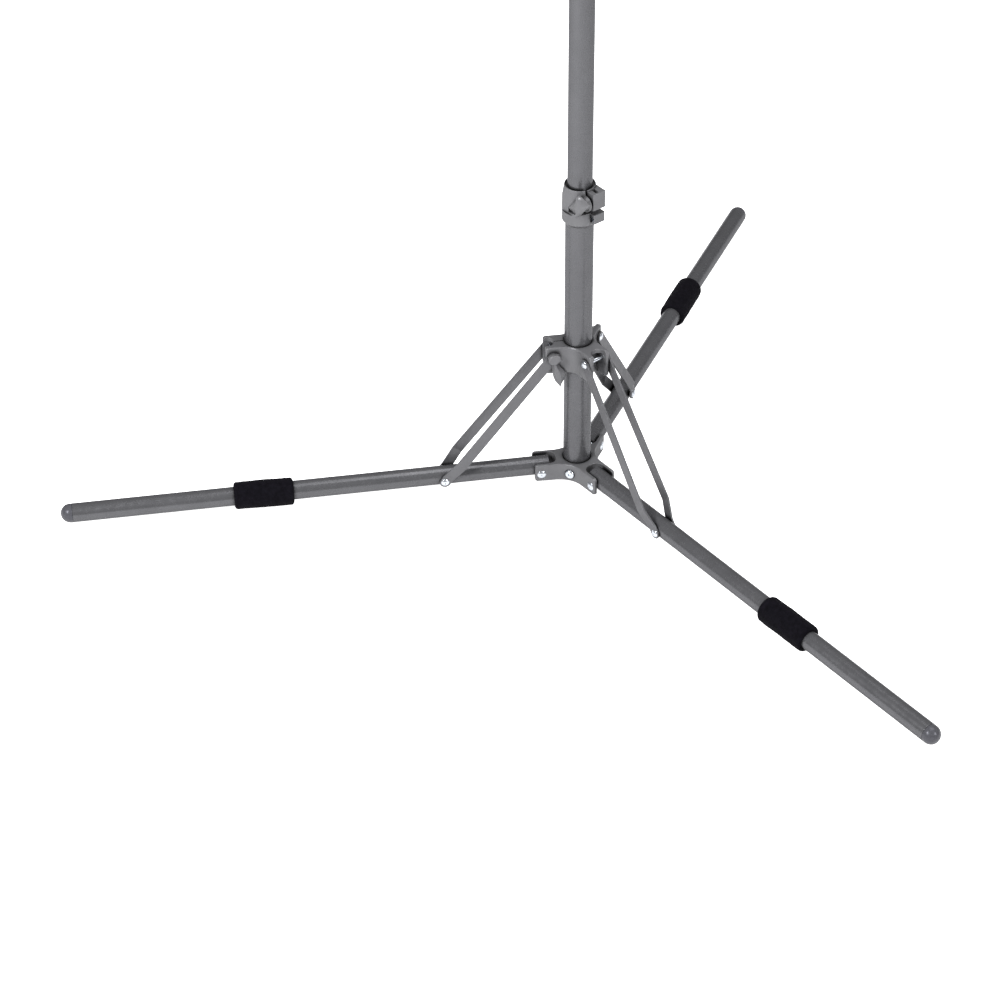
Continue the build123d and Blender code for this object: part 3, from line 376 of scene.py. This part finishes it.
def foam_sleeve(side):
    """Foam tube with soft rounded ends and an uneven, slightly pinched skin."""
    node = f"{side}_foam_sleeve"
    joint = next(j for j in frame["joints"] if j["name"] == f"{side}_leg_fold")
    outward = Vector((0, 0, 1)).cross(Vector(joint["axis"])).normalized()
    if outward.dot(Vector(joint["pos_m"])) < 0:
        outward.negate()
    start, end, radius, bore = sleeve_axis(node, outward)
    direction = (end - start).normalized()
    length = (end - start).length
    sideways, upwards = across(direction)
    seed = NOISE_PLACE * (1 + LEGS.index(side))

    def ring(along, distance, uneven):
        points = []
        for step in range(SLEEVE_AROUND):
            angle = 2 * pi * step / SLEEVE_AROUND
            spoke = sideways * cos(angle) + upwards * sin(angle)
            spot = start + direction * along + spoke * radius
            lumps = noise.noise(spot / SLEEVE_LUMP + seed)
            lumps += 0.5 * noise.noise(spot / SLEEVE_SMALL_LUMP + seed)
            point = start + direction * along + spoke * (distance + uneven * SLEEVE_SWELL * lumps)
            point.z = max(point.z, FLOOR_GAP)
            points.append(point)
        return points

    rings = []
    for step in range(SLEEVE_RINGS + 1):
        share = step / SLEEVE_RINGS
        along = length * share
        edge = min(along, length - along)
        inset = 0.0
        if edge < SLEEVE_ROUNDING:
            inset = SLEEVE_ROUNDING - (SLEEVE_ROUNDING**2 - (SLEEVE_ROUNDING - edge) ** 2) ** 0.5
        barrel = SLEEVE_BARREL * sin(pi * share)
        uneven = SLEEVE_END_SWELL + (1 - SLEEVE_END_SWELL) * min(1.0, edge / SLEEVE_FADE)
        rings.append(ring(along, radius - SLEEVE_SKIN - inset + barrel, uneven))
    for step in range(SLEEVE_BORE_RINGS + 1):
        share = step / SLEEVE_BORE_RINGS
        rings.append(ring(length * (1 - share), bore, 0.0))
    piece = new_piece(f"{side}_foam_grip", join_rings(rings, looped=True), "foam_black", f"{side}_leg")
    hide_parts(node)


# ---------------------------------------------------------------- threaded stud
THREAD_PITCH = 1.27 * MM
THREAD_DEPTH = 0.75 * MM
THREAD_AROUND = 72
THREAD_RINGS_PER_TURN = 12
THREAD_CHAMFER = 0.9 * MM
THREAD_FLAT = 0.1  # share of half a pitch that is flat, at the crest and at the root
STUD_NECK = 2 * MM  # how far the plain neck reaches down into the spigot
STUD_NECK_INSET = 0.65 * MM  # how much thinner than the thread it is


def threaded_stud():
    """Stud on the spigot's top with a cut helical thread."""
    low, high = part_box("spigot_stud")
    radius = (high[0] - low[0]) / 2
    middle_x = (high[0] + low[0]) / 2
    middle_y = (high[1] + low[1]) / 2
    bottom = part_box("spigot")[1][2]
    top = high[2]

    def ring(height, reach_at):
        points = []
        for step in range(THREAD_AROUND):
            share = step / THREAD_AROUND
            reach = reach_at(share)
            angle = 2 * pi * share
            points.append((middle_x + reach * cos(angle), middle_y + reach * sin(angle), height))
        return points

    def thread_reach(height):
        def reach_at(share):
            phase = ((height - bottom) / THREAD_PITCH - share) % 1.0
            rise = (abs(2 * phase - 1) - THREAD_FLAT) / (1 - 2 * THREAD_FLAT)
            flank = min(1.0, max(0.0, rise))
            cap = radius - max(0.0, THREAD_CHAMFER - (top - height))
            return min(radius - THREAD_DEPTH * (1 - flank), cap)

        return reach_at

    def neck_reach(share):
        return radius - STUD_NECK_INSET

    count = round((top - bottom) / THREAD_PITCH * THREAD_RINGS_PER_TURN)
    heights = [bottom + (top - bottom) * step / count for step in range(count + 1)]
    rings = [ring(bottom - STUD_NECK, neck_reach), ring(bottom, neck_reach)]
    rings += [ring(height, thread_reach(height)) for height in heights]
    mesh = join_rings(rings, looped=False)
    piece = new_piece("camera_thread_stud", mesh, "spigot_steel", body_of("spigot_stud"))
    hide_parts("spigot_stud")


# ---------------------------------------------------------------- camera, light and floor
VIEW_AZIMUTH = -37.64  # degrees; 0 looks along +Y
VIEW_ELEVATION = 37.79
VIEW_ROLL = -0.44
VIEW_DISTANCE = 3.55012
VIEW_SHIFT = (-0.08939, -0.04506)  # the camera stands this far to the right of and above the line of sight
VIEW_HEIGHT = 0.0205  # height of the point looked at
LENS = 109.7
AMBIENT = 0.3  # brightness of the surroundings, for light that the camera doesn't see directly
FLOOR_REACH = 12.0  # half the floor's side
FLOOR_GLOW = 0.15  # light that the floor gives off by itself
FLOOR_GLOW_SEEN = 1.0  # the same, as the camera sees it, bright enough to hide the shadows


def sight(azimuth, elevation):
    """Unit vector from the object back to a viewer."""
    turn, rise = radians(azimuth), radians(elevation)
    return Vector((sin(turn) * cos(rise), -cos(turn) * cos(rise), sin(rise)))


def camera():
    """Camera that looks down at the foot of the column, rolled a little."""
    back = sight(VIEW_AZIMUTH, VIEW_ELEVATION)
    level = Vector((cos(radians(VIEW_AZIMUTH)), sin(radians(VIEW_AZIMUTH)), 0))
    above = back.cross(level)
    roll = radians(VIEW_ROLL)
    right = level * cos(roll) + above * sin(roll)
    up = above * cos(roll) - level * sin(roll)
    data = bpy.data.cameras.new("camera")
    data.lens = LENS
    data.sensor_width = 36.0
    data.clip_end = 50.0
    seen = bpy.data.objects.new("camera", data)
    bpy.context.scene.collection.objects.link(seen)
    place = back * VIEW_DISTANCE + right * VIEW_SHIFT[0] + up * VIEW_SHIFT[1] + Vector((0, 0, VIEW_HEIGHT))
    turned = Matrix((right, up, back)).transposed().to_4x4()
    seen.matrix_world = Matrix.Translation(place) @ turned
    bpy.context.scene.camera = seen


def softbox(name, azimuth, elevation, distance, size, power):
    """Square area light that faces the foot of the column."""
    data = bpy.data.lights.new(name, "AREA")
    data.shape = "SQUARE"
    data.size = size
    data.energy = power
    light = bpy.data.objects.new(name, data)
    bpy.context.scene.collection.objects.link(light)
    direction = sight(azimuth, elevation)
    light.location = direction * distance
    light.rotation_euler = direction.to_track_quat("Z", "Y").to_euler()


def studio():
    """White surroundings that light dimly, a key from the left, a low fill and a broad top light."""
    world = bpy.data.worlds.new("studio")
    world.use_nodes = True
    tree = world.node_tree
    background = tree.nodes["Background"]
    background.inputs["Color"].default_value = (1.0, 1.0, 1.0, 1.0)
    path = tree.nodes.new("ShaderNodeLightPath")
    strength = tree.nodes.new("ShaderNodeMapRange")
    strength.inputs["To Min"].default_value = AMBIENT
    strength.inputs["To Max"].default_value = 1.0
    tree.links.new(path.outputs["Is Camera Ray"], strength.inputs["Value"])
    tree.links.new(strength.outputs["Result"], background.inputs["Strength"])
    bpy.context.scene.world = world
    bpy.context.scene.view_settings.view_transform = "Standard"
    softbox("key", azimuth=-84, elevation=40, distance=3.0, size=0.8, power=105)
    softbox("fill", azimuth=10, elevation=28, distance=3.4, size=0.9, power=50)
    softbox("top", azimuth=60, elevation=75, distance=3.0, size=2.0, power=60)


def floor():
    """White floor that throws light back at the stand and looks evenly white."""
    made = Shader("floor")
    seen = made.add("ShaderNodeLightPath").outputs["Is Camera Ray"]
    made.set(
        Base_Color=(0.94, 0.94, 0.94, 1.0),
        Roughness=0.9,
        Specular_IOR_Level=0.1,
        Emission_Color=(1.0, 1.0, 1.0, 1.0),
        Emission_Strength=made.span(seen, 0.0, 1.0, FLOOR_GLOW, FLOOR_GLOW_SEEN),
    )
    mesh = bmesh.new()
    bmesh.ops.create_grid(mesh, x_segments=4, y_segments=4, size=FLOOR_REACH)
    data = bpy.data.meshes.new("floor")
    mesh.to_mesh(data)
    mesh.free()
    data.materials.append(made.material)
    ground = bpy.data.objects.new("floor", data)
    bpy.context.scene.collection.objects.link(ground)


finish_cad_nodes()
for leg in LEGS:
    foam_sleeve(leg)
threaded_stud()
camera()
studio()
floor()
